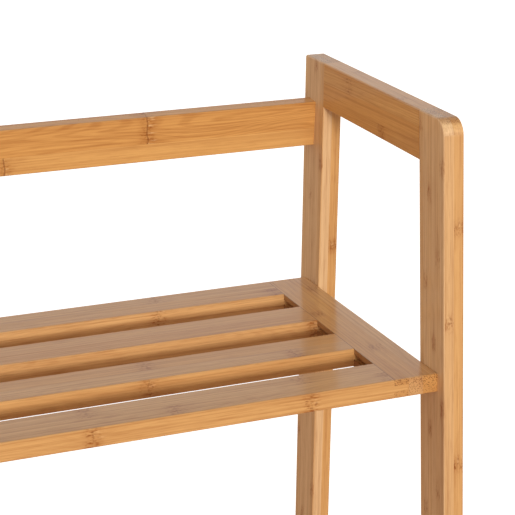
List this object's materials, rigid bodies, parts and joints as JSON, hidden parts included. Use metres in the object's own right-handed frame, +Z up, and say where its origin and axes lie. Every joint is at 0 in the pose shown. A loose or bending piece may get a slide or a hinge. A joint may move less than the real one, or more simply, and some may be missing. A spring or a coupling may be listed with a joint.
{
  "type": "entryway bench",
  "caption": "Bamboo entryway bench: A-shaped side frames with arms, slatted seat, slatted shoe shelf and a slim back rail.",
  "frame": {"origin": "on the floor, under the middle of the bench", "axes": "+X along the bench, +Y towards the back rail, +Z up"},
  "size_m": [0.8, 0.347, 0.666],
  "materials": {
    "bamboo_frame": "satin clear lacquer on edge-laminated bamboo",
    "bamboo_rail": "satin clear lacquer on bamboo",
    "bamboo_slat": "satin clear lacquer on bamboo",
    "bamboo_end_rail": "satin clear lacquer on bamboo",
    "dowel_wood": "plain beech",
    "zinc_steel": "zinc plated",
    "rubber_pad": "matt"
  },
  "bodies": {
    "root": {"leg_front_left": "bamboo_frame", "foot_pad_front_left": "rubber_pad", "leg_rear_left": "bamboo_frame", "foot_pad_rear_left": "rubber_pad", "arm_left": "bamboo_frame", "leg_front_right": "bamboo_frame", "foot_pad_front_right": "rubber_pad", "leg_rear_right": "bamboo_frame", "foot_pad_rear_right": "rubber_pad", "arm_right": "bamboo_frame", "back_rail": "bamboo_rail", "seat_end_rail_left": "bamboo_end_rail", "seat_end_rail_right": "bamboo_end_rail", "seat_slat_1": "bamboo_slat", "seat_slat_2": "bamboo_slat", "seat_slat_3": "bamboo_slat", "seat_slat_4": "bamboo_slat", "shelf_end_rail_left": "bamboo_end_rail", "shelf_end_rail_right": "bamboo_end_rail", "shelf_slat_1": "bamboo_slat", "shelf_slat_2": "bamboo_slat", "shelf_slat_3": "bamboo_slat", "shelf_slat_4": "bamboo_slat", "shelf_slat_5": "bamboo_slat", "frame_bolts": "zinc_steel", "barrel_nuts": "zinc_steel", "arm_dowels": "dowel_wood", "back_rail_dowels": "dowel_wood"}
  },
  "joints": []
}
